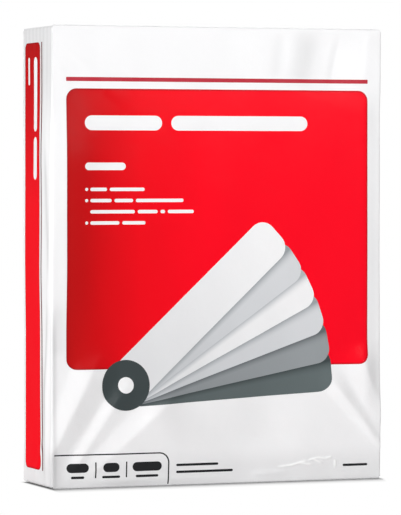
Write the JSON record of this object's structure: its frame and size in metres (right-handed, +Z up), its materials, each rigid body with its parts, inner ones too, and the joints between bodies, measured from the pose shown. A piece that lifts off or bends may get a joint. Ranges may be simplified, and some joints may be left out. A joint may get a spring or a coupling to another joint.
{
  "type": "ream of paper",
  "caption": "Sealed pack of office sheets in a glossy printed wrapper with folded ends, standing upright on one short end.",
  "frame": {"origin": "centre of the bounding box at the base, on the surface that the pack stands on", "axes": "+Z up along the sheets' long side, -Y out of the printed front, -X out of the printed narrow side"},
  "size_m": [0.2175, 0.0572, 0.2814],
  "materials": {
    "wrapper": "gloss laminated white paper",
    "red_print": "gloss red print on the wrapper",
    "dark_red_print": "gloss dark red print on the wrapper",
    "slate_print": "gloss slate grey print on the wrapper",
    "grey_print": "gloss middle grey print on the wrapper",
    "pale_print": "gloss pale grey print on the wrapper",
    "black_print": "gloss near-black print on the wrapper"
  },
  "bodies": {
    "root": {"sealed_pack": "wrapper", "front_panel_print": "red_print", "front_rule_print": "dark_red_print", "fan_slate_print": "slate_print", "fan_grey_print": "grey_print", "fan_pale_print": "pale_print", "label_print": "black_print", "side_panel_print": "red_print", "side_rule_print": "dark_red_print"}
  },
  "joints": []
}
